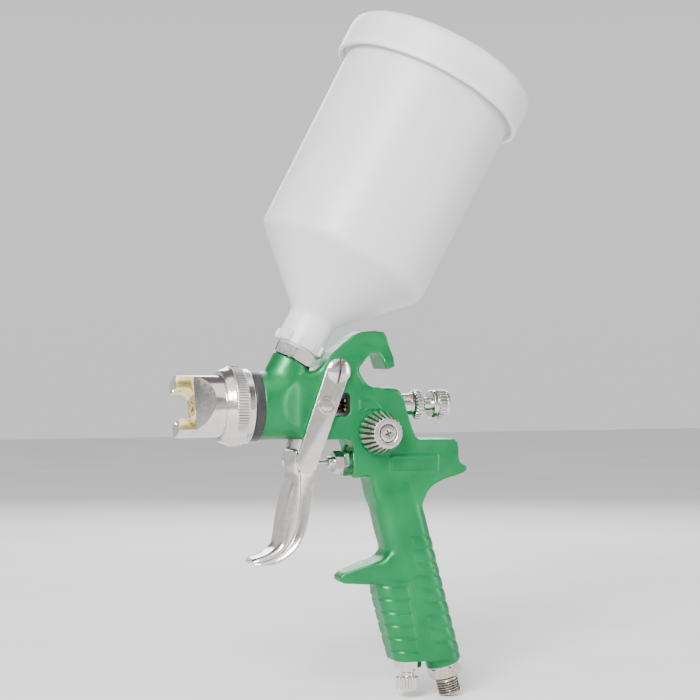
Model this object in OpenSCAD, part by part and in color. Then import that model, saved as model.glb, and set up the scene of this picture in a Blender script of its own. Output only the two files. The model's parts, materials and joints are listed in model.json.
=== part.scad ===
// Gravity-feed HVLP spray gun with a plastic paint cup, one node for each physical piece.
// Millimetres. +Z up, spray direction -X, symmetry plane Y = 0.
// The origin is the centre of the air inlet thread's outer end face.
// The pieces are drawn in the gun's own axes, where X = 0 is the front face of the barrel
// and Z = 0 is the spray axis, and at_inlet() moves them to the origin.

/* [Body] */
// Width of the body across its flat sides
body_w = 22; // [19:0.5:26]
// Diameter of the front barrel
barrel_d = 37; // [36:0.5:44]
// Width of the hanging hook
hook_w = 14; // [10:0.5:18]
// Width of the grip
grip_w = 24; // [20:0.5:28]
// Depth of the grip below the finger spur
grip_depth = 38.4; // [34:0.2:46]
// Depth of the grip's neck above the finger spur
neck_depth = 27.7; // [24:0.1:32]
// Drop from the spray axis to the foot of the grip, along the vertical
grip_drop = 145.2; // [130:0.1:175]
// Lean of the grip and of the air inlet from the vertical
grip_lean = 15; // [10:0.5:18]

/* [Trigger] */
// Clearance between the body's flat sides and the trigger's arms
arm_gap = 0.4; // [0.3:0.05:1]
// Thickness of the trigger's arms
arm_t = 2.2; // [1.6:0.1:3]
// Width of the trigger's arms
arm_w = 13.4; // [11:0.2:15]
// Diameter of the pivot stud
pivot_d = 7; // [5:0.5:8]
// Diameter of the cross pin that pulls the needle
cross_pin_d = 6.6; // [5.6:0.2:7.2]

/* [Spray head] */
// Diameter of the barrel's front thread
spigot_d = 35.2; // [34:0.2:36]
// Largest diameter of the air cap's retaining ring
ring_d = 43.2; // [40:0.2:50]
// Length of the air cap's retaining ring
ring_l = 16; // [15:0.5:19]
// Length of the air cap's horns
horn_l = 9.4; // [7:0.2:13]
// Diameter of the paint orifice
orifice_d = 1.5; // [1.2:0.1:2]
// Diameter of the fluid needle
needle_d = 2.5; // [2:0.1:3]

/* [Cup] */
// Rearward lean of the cup
cup_lean = 28; // [20:1:30]
// Outer diameter of the cup above its shoulder
cup_d = 97; // [80:1:118]
// Height of the cup's wall above its shoulder
cup_h = 106; // [80:1:130]
// Wall thickness of the cup
cup_wall = 1.8; // [1.2:0.1:2.4]
// Outer diameter of the cup's neck
cup_neck_d = 26; // [24:0.5:30]
// Height of the lid
lid_h = 22.5; // [18:0.5:28]
// Width of the lid's rim beyond the cup's wall
lid_over = 5.5; // [4.5:0.5:7]
// Wall thickness of the lid
lid_wall = 2.2; // [1.6:0.1:2.6]
// Diameter of the body's cup boss
cup_boss_d = 22; // [20:0.5:25]

/* [Controls] */
// Largest diameter of the pattern knob
fan_knob_d = 24.4; // [20:0.4:30]
// Length of the pattern knob
fan_knob_l = 14.5; // [12:0.5:18]
// Diameter of the fluid knob
fluid_knob_d = 16.6; // [14:0.2:20]
// Diameter of the fluid knob's screw thread
fluid_screw_d = 7.4; // [7:0.1:8.2]
// Diameter of the air regulator's knob
reg_knob_d = 13.2; // [11:0.2:16]

/* [Air inlet] */
// Major diameter of the air inlet's thread
inlet_thread_d = 13.16; // [12:0.01:16.7]
// Length of the air inlet's thread
inlet_thread_l = 9; // [8:0.5:13]
// Width of the air inlet's hexagon across its flats
inlet_hex = 17; // [17:0.5:21]

/* [Hidden] */

$fn = 64;
eps = 0.01;
fixed_gap = 0.05;    // between two pieces fastened to each other
run_gap = 0.06;      // radial clearance of a running fit
free_gap = 0.35;     // between faces that pass each other
seat_gap = 0.3;      // between a moving piece and what it pushes

green = [0.13, 0.60, 0.35];
nickel = [0.78, 0.76, 0.73];
steel = [0.70, 0.70, 0.71];
brass = [0.80, 0.68, 0.36];
black = [0.10, 0.10, 0.11];
white = [0.95, 0.95, 0.95];
milky = [0.90, 0.92, 0.93];

// Stations of the body, in the gun's own axes
body_side = body_w / 2;
barrel_r = barrel_d / 2;
barrel_end = 50;
body_foot_z = -(grip_drop - 3.7);
foot_x = 70.4 + grip_drop * tan(grip_lean);
foot_z = -grip_drop;
boss_r = 9.5;
inlet_relief = 1;
inlet_hex_h = 6.5;
inlet_l = inlet_hex_h + inlet_relief + inlet_thread_l;
inlet_x = foot_x + inlet_l * sin(grip_lean);
inlet_z = foot_z - inlet_l * cos(grip_lean);
lower_grip_h = 62;
grip_top = (grip_drop - 44.74) / cos(grip_lean);
window = [[31, 50], [-5.6, 7.1]];
window_r = 2.7;

// Trigger
arm_in = body_side + arm_gap;
arm_out = arm_in + arm_t;
pivot = [42.4, 19];
arm_lean = 20.3;
arm_l = 62;
cross_pin_x = 35.5;
cross_pin_z = 0.4;
pivot_head_d = 13.5;
clip_t = 0.7;
clip_r = 5;

// Spray head
cap_d = spigot_d - 2;
cap_flange_d = spigot_d - 0.5;
seal_t = 5.1;
ring_x = -seal_t - 0.25;
lip_l = 3.6;
nozzle_face = -12;
cap_rear = -15.2;
cap_front = -36;
nozzle_tip = cap_front - 0.2;
horn_turn = 18;
horn_w = 15;
horn_root_r = 8.6;
horn_jet_r = 12.2;
oblique = 44;

// Spray-axis pieces behind the window
collar_front = cross_pin_x + cross_pin_d / 2 + seat_gap;
collar_rear = 52;
needle_back = 96;
guide_bore = 7.8;
sleeve_d = 11.8;
sleeve_x = 72;
sleeve_end = 90;
locknut_l = 5.9;
fluid_knob_x = 101.1;
fluid_knob_l = 10.8;
screw_front = 80;
seat_t = 2;

// Air valve, below the barrel
valve_z = -31.3;
valve_face = 53.4;
valve_bore_d = 12;
valve_bore_end = 79;
valve_stem_d = 2.8;
stem_front = 20.6;

// Pattern valve, on the left side
fan = [66.7, -14.8];
fan_bore_d = 10;
fan_depth = 16;

// Regulator, under the grip
reg_x = foot_x - 21.4;
reg_hex = 14;
reg_bore_d = 9.2;

// Cup, measured along its own axis from the spray axis
cup_x = 7;
boss_top = 27.5;
conn_hex = 21.5;
conn_h = 6.5;
conn_top = boss_top + seat_gap + conn_h;
gasket_t = 0.8;
neck_foot = conn_top + gasket_t + 0.1;
neck_top = 54;
shoulder_r = cup_d / 2;
shoulder_z = neck_top + shoulder_r - cup_neck_d / 2;
cup_rise = 1;
cup_top = shoulder_z + cup_h + 12;
lid_foot = shoulder_z + cup_h;
lid_r = shoulder_r + cup_rise + lid_over;
rim_r = lid_r - lid_wall - free_gap;
conn_bore_d = 9;
conn_thread_d = 15;
neck_thread_d = 17.4;

// ---- Placing ----

module at_inlet() {
    translate([-inlet_x, 0, -inlet_z]) children();
}

// Local Z along the cup's axis
module on_cup_axis() {
    translate([cup_x, 0, 0]) rotate([0, cup_lean, 0]) children();
}

// Local Z up the grip, local X to its back
module on_grip() {
    translate([foot_x, 0, foot_z]) rotate([0, -grip_lean, 0]) children();
}

// Local Z down and out of the air inlet
module on_inlet() {
    translate([foot_x, 0, foot_z]) rotate([0, 180 - grip_lean, 0]) children();
}

// Local Z out of the left side at the pattern knob
module on_fan_axis() {
    translate([fan[0], -body_side, fan[1]]) rotate([90, 0, 0]) children();
}

// Local Z down, out of the grip's lower face
module on_regulator() {
    translate([reg_x, 0, body_foot_z]) mirror([0, 0, 1]) children();
}

// A side outline given in X and Z, w wide across Y
module side(w) {
    rotate([90, 0, 0]) linear_extrude(height = w, center = true) children();
}

// A round bar along X
module bar_x(x0, x1, d, z = 0, y = 0) {
    translate([x0, y, z]) rotate([0, 90, 0]) cylinder(h = x1 - x0, d = d);
}

// A round bar along Y
module bar_y(x, z, y0, y1, d) {
    translate([x, y0, z]) rotate([-90, 0, 0]) cylinder(h = y1 - y0, d = d);
}

// A hexagonal bar along X, w across its flats, turned by a
module hex_x(x0, x1, w, a = 0, z = 0) {
    translate([x0, 0, z]) rotate([0, 90, 0]) rotate([0, 0, a])
        cylinder(h = x1 - x0, r = w / 2 / cos(30), $fn = 6);
}

// A hexagonal bar along Z
module hex_z(h, w, a = 0) {
    rotate([0, 0, a]) cylinder(h = h, r = w / 2 / cos(30), $fn = 6);
}

// A turned piece about the spray axis: points are [x, radius]
module turned_x(points) {
    rotate([0, 90, 0]) rotate_extrude() polygon([for (p = points) [p[1], p[0]]]);
}

// A turned piece about local Z: points are [radius, z]
module turned(points) {
    rotate_extrude() polygon(points);
}

// A washer on local Z
module washer(d_out, d_in, h) {
    difference() {
        cylinder(h = h, d = d_out);
        translate([0, 0, -1]) cylinder(h = h + 2, d = d_in);
    }
}

// n flutes cut round a knob of diameter d, from z0 to z1
module flutes(n, d, depth, flute_d, z0, z1) {
    for (i = [0 : n - 1])
        rotate([0, 0, i * 360 / n]) translate([d / 2 + flute_d / 2 - depth, 0, z0])
            cylinder(h = z1 - z0, d = flute_d, $fn = 16);
}

// A bar along local Z with a rounded rectangular section
module rounded_bar(x0, x1, w, r_front, r_back, z0, z1) {
    h = z1 - z0;
    translate([0, 0, z0]) {
        for (s = [-1, 1]) {
            translate([x0 + r_front, s * (w / 2 - r_front), 0]) cylinder(h = h, r = r_front);
            translate([x1 - r_back, s * (w / 2 - r_back), 0]) cylinder(h = h, r = r_back);
        }
        translate([x0 + r_front, -w / 2, 0]) cube([x1 - x0 - r_front - r_back, w, h]);
        translate([x0, -w / 2 + r_front, 0]) cube([r_front + 1, w - 2 * r_front, h]);
        translate([x1 - r_back - 1, -w / 2 + r_back, 0]) cube([r_back + 1, w - 2 * r_back, h]);
    }
}

// A round-wire spring along X, with closed ends, as one swept tube
module spring_x(x0, x1, coil_d, wire_d, turns, z = 0) {
    sides = 6;
    steps = 18 * turns;
    rise = x1 - x0 - wire_d;
    coil_r = (coil_d - wire_d) / 2;
    points = [for (i = [0 : steps]) for (j = [0 : sides - 1])
        let (
            a = i * 360 * turns / steps,
            b = j * 360 / sides,
            r = coil_r + wire_d / 2 * cos(b)
        )
        [x0 + wire_d / 2 + rise * i / steps + wire_d / 2 * sin(b), r * cos(a), z + r * sin(a)]
    ];
    first = [for (j = [0 : sides - 1]) j];
    last = [for (j = [sides - 1 : -1 : 0]) steps * sides + j];
    walls = [for (i = [0 : steps - 1]) for (j = [0 : sides - 1])
        let (n = (j + 1) % sides)
        [i * sides + j, (i + 1) * sides + j, (i + 1) * sides + n, i * sides + n]
    ];
    polyhedron(points, concat([first], walls, [last]));
}

// ---- Body ----

// Rear of the body: plate, tail and the housing of the air valve
core_outline = [
    [22, -barrel_r + 0.2], [22, 16.6], [30.2, 18.6], [32.4, 19.8], [38, 25.4], [50, 26.5],
    [55.4, 19.8], [59.4, 13], [63, 10], [78.5, 9.7], [80.5, 7.8], [82.7, -0.7], [85.9, -11],
    [88.6, -17.4], [90.5, -19], [111.8, -19.2], [114, -21.2], [114.6, -30.5], [116.2, -33],
    [119, -34.2], [119.4, -36.3], [116.9, -38], [104.5, -42.5], [98.8, -45.6],
    [95.6, -49.6], [94.2, -54.5], [66, -54.5], [63.6, -44], [62.6, -38.6],
    [valve_face - 1, -39.6], [valve_face - 1, -24], [50.5, -barrel_r + 0.2]
];

hook_outline = [
    [32.4, 19.8], [41, 28.8], [53.5, 38.3], [58.5, 40.4], [66, 40.9], [71.5, 40.2],
    [73.2, 37.5], [75.8, 26.5], [76.3, 21.2], [71.8, 19.4], [68.9, 26.5], [67, 29],
    [63.5, 28.7], [60, 25.7], [55.6, 19.8], [52, 14], [38, 14]
];

spur_outline = [
    [82, -81], [72.6, -81.5], [70.8, -84.3], [48.6, -91.6], [46.3, -93.6], [46.4, -95.8],
    [48.6, -97.4], [66, -98.4], [82, -99]
];

module grip_solid() {
    back = boss_r - 0.3;
    on_grip() {
        rounded_bar(back - grip_depth, back, grip_w, 7, 8.5, -4, lower_grip_h - 8);
        rounded_bar(
            back - grip_depth + 1, back, grip_w - 1, 7, 8.5, lower_grip_h - 9, lower_grip_h - 5
        );
        rounded_bar(back - neck_depth, back, grip_w, 8, 8.5, lower_grip_h - 6, grip_top);
    }
}

module body_solid() {
    // Barrel, whose sides draw in behind the spray head
    intersection() {
        bar_x(0, barrel_end, barrel_d, 0);
        translate([0, 0, -40]) linear_extrude(height = 80)
            polygon([
                [-1, barrel_r + 1], [5, barrel_r + 1], [12, barrel_r - 1.6],
                [19, body_side + 1.2], [22.5, body_side], [51, body_side],
                [51, -body_side], [22.5, -body_side], [19, -body_side - 1.2],
                [12, -barrel_r + 1.6], [5, -barrel_r - 1], [-1, -barrel_r - 1]
            ]);
    }
    bar_x(nozzle_face, 1, spigot_d);
    side(body_w) polygon(core_outline);
    // Hook, drawn in above the pivot
    intersection() {
        side(body_w) polygon(hook_outline);
        translate([20, 0, 0]) rotate([90, 0, 90]) linear_extrude(height = 70)
            polygon([
                [-body_side, 0], [body_side, 0], [body_side, 24], [hook_w / 2, 33],
                [hook_w / 2, 50], [-hook_w / 2, 50], [-hook_w / 2, 33], [-body_side, 24]
            ]);
    }
    // Cup boss
    on_cup_axis() cylinder(h = boss_top, d = cup_boss_d);
    // Grip, cut level at its foot
    difference() {
        grip_solid();
        translate([foot_x - 60, -20, body_foot_z - 30]) cube([100, 40, 30]);
    }
    // Finger spur, tapered towards its tip
    intersection() {
        side(body_w) polygon(spur_outline);
        translate([0, 0, -100]) linear_extrude(height = 30)
            polygon([
                [84, 11], [71, 11], [52, 7], [45, 5], [45, -5], [52, -7], [71, -11], [84, -11]
            ]);
    }
    // Boss of the air inlet
    on_grip() cylinder(h = 16, r = boss_r);
}

module body_bores() {
    // Paint way, nozzle seat, packing and the screw of its nut
    bar_x(nozzle_face - 1, 3, 12 + 2 * fixed_gap);
    bar_x(2, 16, 8);
    bar_x(15, 24, 7);
    bar_x(24, window[0][0] + 1, 8.4 + 2 * fixed_gap);
    on_cup_axis() cylinder(h = boss_top + 5, d = conn_bore_d);
    on_cup_axis() translate([0, 0, boss_top - 10])
        cylinder(h = 15, d = conn_thread_d + 2 * run_gap);
    // Room for the connector's hexagon to turn beside the hook
    on_cup_axis() translate([0, 0, boss_top])
        cylinder(h = conn_h + 8, r = conn_hex / 2 / cos(30) + free_gap);
    // Window for the cross pin and the packing nut
    side(body_w + 2) difference() {
        translate([window[0][0], window[1][0]])
            square([window[0][1] - window[0][0], window[1][1] - window[1][0]]);
        for (i = [0, 1]) for (j = [0, 1])
            translate([window[0][i], window[1][j]])
                mirror([i, 0]) mirror([0, j]) difference() {
                    translate([-eps, -eps]) square(window_r + eps);
                    translate([window_r, window_r]) circle(window_r);
                }
    }
    // Guide of the needle collar and spring, and the screw of the sleeve
    bar_x(window[0][1] - 1, sleeve_x + 1, guide_bore);
    bar_x(sleeve_x, 92, sleeve_d + 2 * fixed_gap);
    // Air ways: front annulus, cross way, valve chamber, grip
    difference() {
        bar_x(nozzle_face - 1, -3, 28);
        bar_x(nozzle_face - 2, -2, 17);
    }
    bar_x(nozzle_face - 1, fan[0], 4.6, -11.6);
    translate([fan[0], 0, valve_z]) cylinder(h = fan[1] - valve_z, d = 6);
    bar_x(valve_face - 2, valve_bore_end, valve_bore_d, valve_z);
    bar_x(valve_face - 6, valve_face + 1, 19, valve_z);
    // Pattern valve
    on_fan_axis() translate([0, 0, -fan_depth]) cylinder(h = fan_depth + 1, d = fan_bore_d);
    // Inlet bore, throttle bore and the way up the grip
    on_grip() translate([0, 0, -1]) cylinder(h = 13, d = inlet_thread_d + 2 * fixed_gap);
    on_grip() cylinder(h = 26, d = 8);
    translate([reg_x, 0, foot_z + 22]) rotate([0, 90, 0]) cylinder(h = foot_x - reg_x - 6, d = 6);
    on_regulator() translate([0, 0, -26]) cylinder(h = 30, d = reg_bore_d);
    translate([reg_x, 0, body_foot_z + 24]) rotate([0, -grip_lean, 0])
        cylinder(h = (valve_z - body_foot_z - 24) / cos(grip_lean), d = 7);
    // Pivot hole
    bar_y(pivot[0], pivot[1], -20, 20, pivot_d + 2 * fixed_gap);
}

module gun_body() {
    color(green) at_inlet() difference() {
        body_solid();
        body_bores();
    }
}

// ---- Spray head ----

module seal_ring() {
    color(black) at_inlet() turned_x([
        [-seal_t, spigot_d / 2 + fixed_gap], [-seal_t, barrel_r + 0.1],
        [-seal_t + 0.4, barrel_r + 0.5], [-0.4, barrel_r + 0.5],
        [0, barrel_r + 0.1], [0, spigot_d / 2 + fixed_gap]
    ]);
}

module air_distributor() {
    color(brass) at_inlet() difference() {
        bar_x(nozzle_face - 2.6, nozzle_face, 29);
        bar_x(nozzle_face - 4, nozzle_face + 1, 17.2);
        for (i = [0 : 11])
            rotate([i * 30 + 15, 0, 0]) bar_x(nozzle_face - 4, nozzle_face + 1, 2.4, 11.6);
    }
}

module fluid_nozzle() {
    r = orifice_d / 2;
    color(steel) at_inlet() difference() {
        union() {
            bar_x(nozzle_face - 0.1, 2, 12);
            hex_x(nozzle_face - 4.2, nozzle_face, 14, 0);
            turned_x([
                [nozzle_face - 4, 0], [nozzle_face - 4, 6.8], [-19, 6.8], [-30, 3.4],
                [-31, 2.2], [nozzle_tip, 2.2], [nozzle_tip, 0]
            ]);
        }
        turned_x([
            [3, 0], [3, 3], [-26, 3], [-35, r], [nozzle_tip - 1, r], [nozzle_tip - 1, 0]
        ]);
    }
}

module nozzle_gasket() {
    color(white) at_inlet() difference() {
        bar_x(2.05, 2.95, 11.6);
        bar_x(1, 4, 6.2);
    }
}

// The air cap, with its horns above and below before horn_turn is applied
module air_cap() {
    cap_r = cap_d / 2;
    horn_tip = cap_front - horn_l;
    color(nickel) at_inlet() rotate([-horn_turn, 0, 0]) difference() {
        turned_x([
            [cap_rear, 0], [cap_rear, cap_flange_d / 2], [cap_rear - 2, cap_flange_d / 2],
            [cap_rear - 2, cap_r], [horn_tip + 0.6, cap_r], [horn_tip, cap_r - 0.6], [horn_tip, 0]
        ]);
        // Hollow between the horns
        side(2 * cap_d) translate([horn_tip - 1, 0]) horn_notch(horn_root_r, horn_l + 1);
        // Horns flat on both sides, running out in an oblique cut
        for (s = [0, 1])
            mirror([0, s, 0]) translate([0, 0, -cap_d]) linear_extrude(height = 2 * cap_d)
                polygon([
                    [horn_tip - 5, horn_w / 2], [cap_front, horn_w / 2],
                    [cap_front + cap_d * cos(oblique), horn_w / 2 + cap_d * sin(oblique)],
                    [horn_tip - 5, horn_w / 2 + cap_d * sin(oblique)]
                ]);
        // Cavity behind, centre hole and the horns' jets
        turned_x([
            [cap_rear + 1, 0], [cap_rear + 1, 13.6], [-24, 13.6], [-33, 5], [-33, 0]
        ]);
        bar_x(cap_front - 1, -32, 5.8);
        for (s = [-1, 1]) {
            bar_x(horn_tip + 2.5, -23.5, 2.6, s * horn_jet_r);
            for (j = [4, 8])
                translate([cap_front - j, 0, s * horn_jet_r]) rotate([0, s > 0 ? 180 + 25 : -25, 0])
                    cylinder(h = 8, d = 1.7);
            bar_x(cap_front - 1, -30, 1, s * 5.2);
        }
    }
}

// The hollow between the horns, seen from the side: two rounded corners at its bottom
module horn_notch(half, l) {
    r = 5;
    translate([0, -half]) square([l - r, 2 * half]);
    translate([0, -half + r]) square([l, 2 * (half - r)]);
    for (z = [-half + r, half - r])
        translate([l - r, z]) circle(r);
}

module air_cap_ring() {
    bore_r = spigot_d / 2 + run_gap;
    ring_r = ring_d / 2;
    x1 = ring_x - ring_l;
    color(nickel) at_inlet() turned_x([
        [ring_x, bore_r], [ring_x, ring_r - 2.2], [ring_x - 0.6, ring_r - 1.6],
        [ring_x - 4.2, ring_r - 1.4], [ring_x - 4.8, ring_r], [ring_x - 10.6, ring_r],
        [ring_x - 11.6, ring_r - 0.9], [x1 + 1.6, ring_r - 1.7], [x1, ring_r - 2.6],
        [x1, cap_d / 2 + free_gap], [x1 + lip_l, cap_d / 2 + free_gap], [x1 + lip_l, bore_r]
    ]);
}

// ---- Fluid needle and its controls ----

module fluid_needle() {
    r = needle_d / 2;
    color(steel) at_inlet() turned_x([
        [needle_back, 0], [needle_back, r - 0.3], [needle_back - 0.6, r], [-31.6, r],
        [-35, orifice_d / 2 - 0.08], [nozzle_tip, orifice_d / 2 - 0.3], [nozzle_tip, 0]
    ]);
}

module needle_collar() {
    bore = needle_d / 2 + fixed_gap;
    color(brass) at_inlet() turned_x([
        [collar_front, bore], [collar_front, 2.7], [collar_front + 0.5, 3.2], [45, 3.2],
        [collar_rear - 1.8, 1.9], [collar_rear - 1, 1.9], [collar_rear - 1, 3.3],
        [collar_rear, 3.3], [collar_rear, bore]
    ]);
}

module needle_packing() {
    color(white) at_inlet() difference() {
        bar_x(17, 23.9, 6.9);
        bar_x(16, 25, needle_d + 2 * run_gap);
    }
}

module packing_nut() {
    color(brass) at_inlet() difference() {
        bar_x(24, window[0][0] - 0.2, 8.4);
        bar_x(23, window[0][0] + 2, needle_d + 2 * run_gap + 0.02);
        translate([window[0][0] - 1.4, -6, -0.6]) cube([3, 12, 1.2]);
    }
}

module needle_spring() {
    color(steel) at_inlet()
        spring_x(collar_rear + seat_gap, screw_front - seat_t - seat_gap, 6.6, 1, 7);
}

module needle_spring_seat() {
    color(brass) at_inlet() difference() {
        bar_x(screw_front - seat_t, screw_front - fixed_gap, guide_bore - 0.7);
        bar_x(screw_front - 5, screw_front + 1, needle_d + 2 * run_gap + 0.02);
    }
}

module fluid_sleeve() {
    color(nickel) at_inlet() difference() {
        union() {
            bar_x(sleeve_x + 2, sleeve_end, sleeve_d);
            bar_x(sleeve_end - 1.6, sleeve_end, sleeve_d + 0.8);
        }
        bar_x(sleeve_x, sleeve_end + 1, fluid_screw_d + 2 * run_gap);
    }
}

module fluid_locknut() {
    x0 = sleeve_end + seat_gap;
    d = fluid_knob_d - 0.1;
    color(nickel) at_inlet() translate([x0, 0, 0]) rotate([0, 90, 0]) difference() {
        turned([
            [0, 0], [d / 2 - 1.6, 0], [d / 2, 1.2], [d / 2, locknut_l - 1.6],
            [d / 2 - 1.6, locknut_l - 0.4], [0, locknut_l - 0.4]
        ]);
        translate([0, 0, -1]) cylinder(h = locknut_l + 2, d = fluid_screw_d + 2 * run_gap);
        flutes(12, d, 0.5, 2.4, -1, locknut_l + 1);
    }
}

module fluid_knob() {
    r = fluid_knob_d / 2;
    bore = needle_d + 0.8;
    color(nickel) at_inlet() difference() {
        union() {
            bar_x(screw_front, fluid_knob_x + 1, fluid_screw_d);
            translate([fluid_knob_x, 0, 0]) rotate([0, 90, 0]) difference() {
                turned([
                    [0, 0], [r - 1, 0], [r - 0.4, 0.6], [r - 0.4, 2.6], [r - 1, 3.2],
                    [r, 4], [r, fluid_knob_l - 2.4], [r - 0.8, fluid_knob_l - 0.8],
                    [r - 2.4, fluid_knob_l], [0, fluid_knob_l]
                ]);
                flutes(16, fluid_knob_d, 0.6, 1.8, 3.4, fluid_knob_l + 1);
            }
        }
        bar_x(screw_front - 1, needle_back + 10.5, bore);
    }
}

// ---- Pattern valve ----

module fan_valve_housing() {
    color(brass) at_inlet() on_fan_axis() difference() {
        union() {
            translate([0, 0, -9]) cylinder(h = 9.2, d = fan_bore_d - 2 * fixed_gap);
            translate([0, 0, 0.05]) hex_z(3.6, 13);
        }
        translate([0, 0, -10]) cylinder(h = 20, d = 5 + 2 * run_gap);
        translate([0, 0, -10]) cylinder(h = 5.8, d = 7.4);
    }
}

module fan_spindle_seal() {
    color(black) at_inlet() on_fan_axis() translate([0, 0, -8.6]) washer(7, 5.1, 1.4);
}

module fan_spindle() {
    color(steel) at_inlet() on_fan_axis() difference() {
        union() {
            translate([0, 0, -8.9]) cylinder(h = 17.4, d = 5);
            translate([0, 0, -11.5]) cylinder(h = 2.6, d = 6.4);
            translate([0, 0, -14.4]) cylinder(h = 3, d1 = 2, d2 = 5.6);
        }
        translate([0, 0, 4]) cylinder(h = 6, d = 3 + 2 * fixed_gap);
    }
}

module fan_knob() {
    r = fan_knob_d / 2;
    color(nickel) at_inlet() on_fan_axis() difference() {
        turned([
            [0, free_gap], [r - 1.2, free_gap], [r, 1.6], [r, 4], [8.7, fan_knob_l - 1],
            [8, fan_knob_l], [0, fan_knob_l]
        ]);
        for (i = [0 : 13])
            rotate([0, 0, i * 360 / 14]) translate([r + 0.9, 0, -1])
                rotate([0, -16, 0]) cylinder(h = fan_knob_l + 4, d = 3.6, $fn = 16);
        // Room for the housing, the spindle's end and the screw's head
        translate([0, 0, -1]) cylinder(h = 6, d = 17);
        translate([0, 0, 4]) cylinder(h = 4.6, d = 5 + 2 * fixed_gap);
        translate([0, 0, 8]) cylinder(h = 10, d = 3.4);
        translate([0, 0, fan_knob_l - 2.4]) cylinder(h = 4, d = 9.4);
    }
}

module fan_knob_screw() {
    color(nickel) at_inlet() on_fan_axis() difference() {
        union() {
            translate([0, 0, 4.6]) cylinder(h = fan_knob_l - 6.5, d = 3);
            translate([0, 0, fan_knob_l - 2.3]) cylinder(h = 2.2, d = 8.8);
        }
        for (a = [0, 90])
            rotate([0, 0, a + 20]) translate([-1.9, -0.45, fan_knob_l - 1.4]) cube([3.8, 0.9, 3]);
    }
}

// ---- Air valve ----

module air_valve_body() {
    color(nickel) at_inlet() difference() {
        union() {
            hex_x(valve_face - 4.7, valve_face - 0.1, 12, 14, valve_z);
            bar_x(valve_face - 0.2, valve_face + 5, valve_bore_d - 2 * fixed_gap, valve_z);
        }
        bar_x(valve_face - 6, valve_face + 2, 7.2, valve_z);
        bar_x(valve_face - 6, valve_face + 6, valve_stem_d + 2 * run_gap, valve_z);
    }
}

module air_valve_gland() {
    x1 = valve_face - 4.75;
    color(nickel) at_inlet() difference() {
        union() {
            bar_x(x1 - 8.4, x1 - 4, 6.4, valve_z);
            hex_x(x1 - 5, x1, 11, 30, valve_z);
            bar_x(x1 - 0.2, x1 + 5.5, 7.1, valve_z);
        }
        bar_x(x1 - 10, x1 + 8, valve_stem_d + 2 * run_gap, valve_z);
    }
}

module air_valve_stem() {
    color(steel) at_inlet() {
        bar_x(stem_front, 61, valve_stem_d, valve_z);
        bar_x(60.9, 63, 8, valve_z);
        bar_x(62.9, 66, 4.4, valve_z);
    }
}

module air_valve_seal() {
    color(black) at_inlet() difference() {
        bar_x(valve_face + 5.4, 60.85, 8.4, valve_z);
        bar_x(valve_face + 4, 62, valve_stem_d + 2 * fixed_gap, valve_z);
    }
}

module air_valve_spring() {
    color(steel) at_inlet()
        spring_x(63.3, valve_bore_end - 0.3, 8.2, 1, 5, valve_z);
}

// ---- Trigger ----

// Finger lever: the front of its two rolls, the crease behind them, the rear edge of its
// flanges and the web between the rolls
roll_front = [
    [22.4, -22], [19.6, -29.2], [19.5, -40], [15.6, -50.1], [13.3, -61.4], [12.2, -69.4],
    [11, -75.2], [6.2, -79.3], [-0.4, -81.5], [-3.6, -83]
];
crease = [
    [28.5, -22], [24.6, -35.6], [23.6, -50.8], [22, -61.5], [19.6, -69.6], [15.4, -75.4],
    [7.6, -81.3], [-2.6, -84.4]
];
crease_step = [1.6, -1.2];
flange_back = [
    [-3.2, -85.4], [5.2, -85.8], [13, -83.3], [18.4, -79.4], [22.8, -73],
    [26, -64.4], [27.4, -52], [28.3, -45], [29.5, -36], [33.2, -26]
];
web_t = 2.2;
web_front = [
    [17.9, -29], [18.2, -38], [16.4, -50], [14.2, -60.6], [13, -69], [11.6, -74.6],
    [6.6, -78.6], [-0.4, -81.1]
];
roll_y = 7.4;

module arm_outline() {
    translate(pivot) rotate(-arm_lean) {
        circle(d = arm_w);
        translate([-arm_w / 2, -arm_l + 4]) square([arm_w, arm_l - 4]);
        translate([0.8, -arm_l + 4.6]) circle(d = arm_w - 1.8);
    }
}

module trigger() {
    flange_side = arm_out - 0.3;
    color(nickel) at_inlet() difference() {
        union() {
            // Arms
            for (s = [-1, 1])
                translate([0, s * (arm_in + arm_t / 2), 0]) side(arm_t) arm_outline();
            // Rolls, creases and flanges of the finger lever
            for (s = [-1, 1]) {
                translate([0, s * roll_y, 0]) side(2) polygon(concat(
                    roll_front, [for (i = [len(crease) - 1 : -1 : 0]) crease[i]]
                ));
                translate([0, s * (roll_y + flange_side) / 2, 0])
                    side(flange_side - roll_y + 2) polygon(concat(
                        crease, [for (i = [len(crease) - 1 : -1 : 0]) crease[i] + crease_step]
                    ));
                translate([0, s * (flange_side - 1), 0]) side(2)
                    polygon(concat(crease, flange_back));
            }
            // Web between the rolls
            side(2 * roll_y + 1) polygon(concat(
                web_front, [[0.4, -82.7], [7.4, -80.7]],
                [for (i = [5 : -1 : 0]) web_front[i] + [web_t, 0]]
            ));
        }
        bar_y(pivot[0], pivot[1], -20, 20, pivot_d + 2 * run_gap);
        bar_y(cross_pin_x, cross_pin_z, -20, 20, cross_pin_d + 2 * fixed_gap);
    }
}

module pivot_head() {
    // Domed head on local Z, with a driver's slot
    dome_r = 12;
    h = 2.6;
    difference() {
        intersection() {
            cylinder(h = h, d = pivot_head_d);
            translate([0, 0, h - dome_r]) sphere(r = dome_r);
        }
        rotate([0, 0, 7]) translate([-0.7, -10, h - 1.1]) cube([1.4, 20, 3]);
    }
}

module pivot_stud() {
    color(nickel) at_inlet() difference() {
        union() {
            bar_y(pivot[0], pivot[1], -arm_out - 0.35, arm_out + 0.1, pivot_d);
            translate([pivot[0], -arm_out - seat_gap, pivot[1]]) rotate([90, 0, 0]) pivot_head();
        }
        bar_y(pivot[0], pivot[1], arm_out - 8, arm_out + 2, 4 + 2 * fixed_gap);
    }
}

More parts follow.
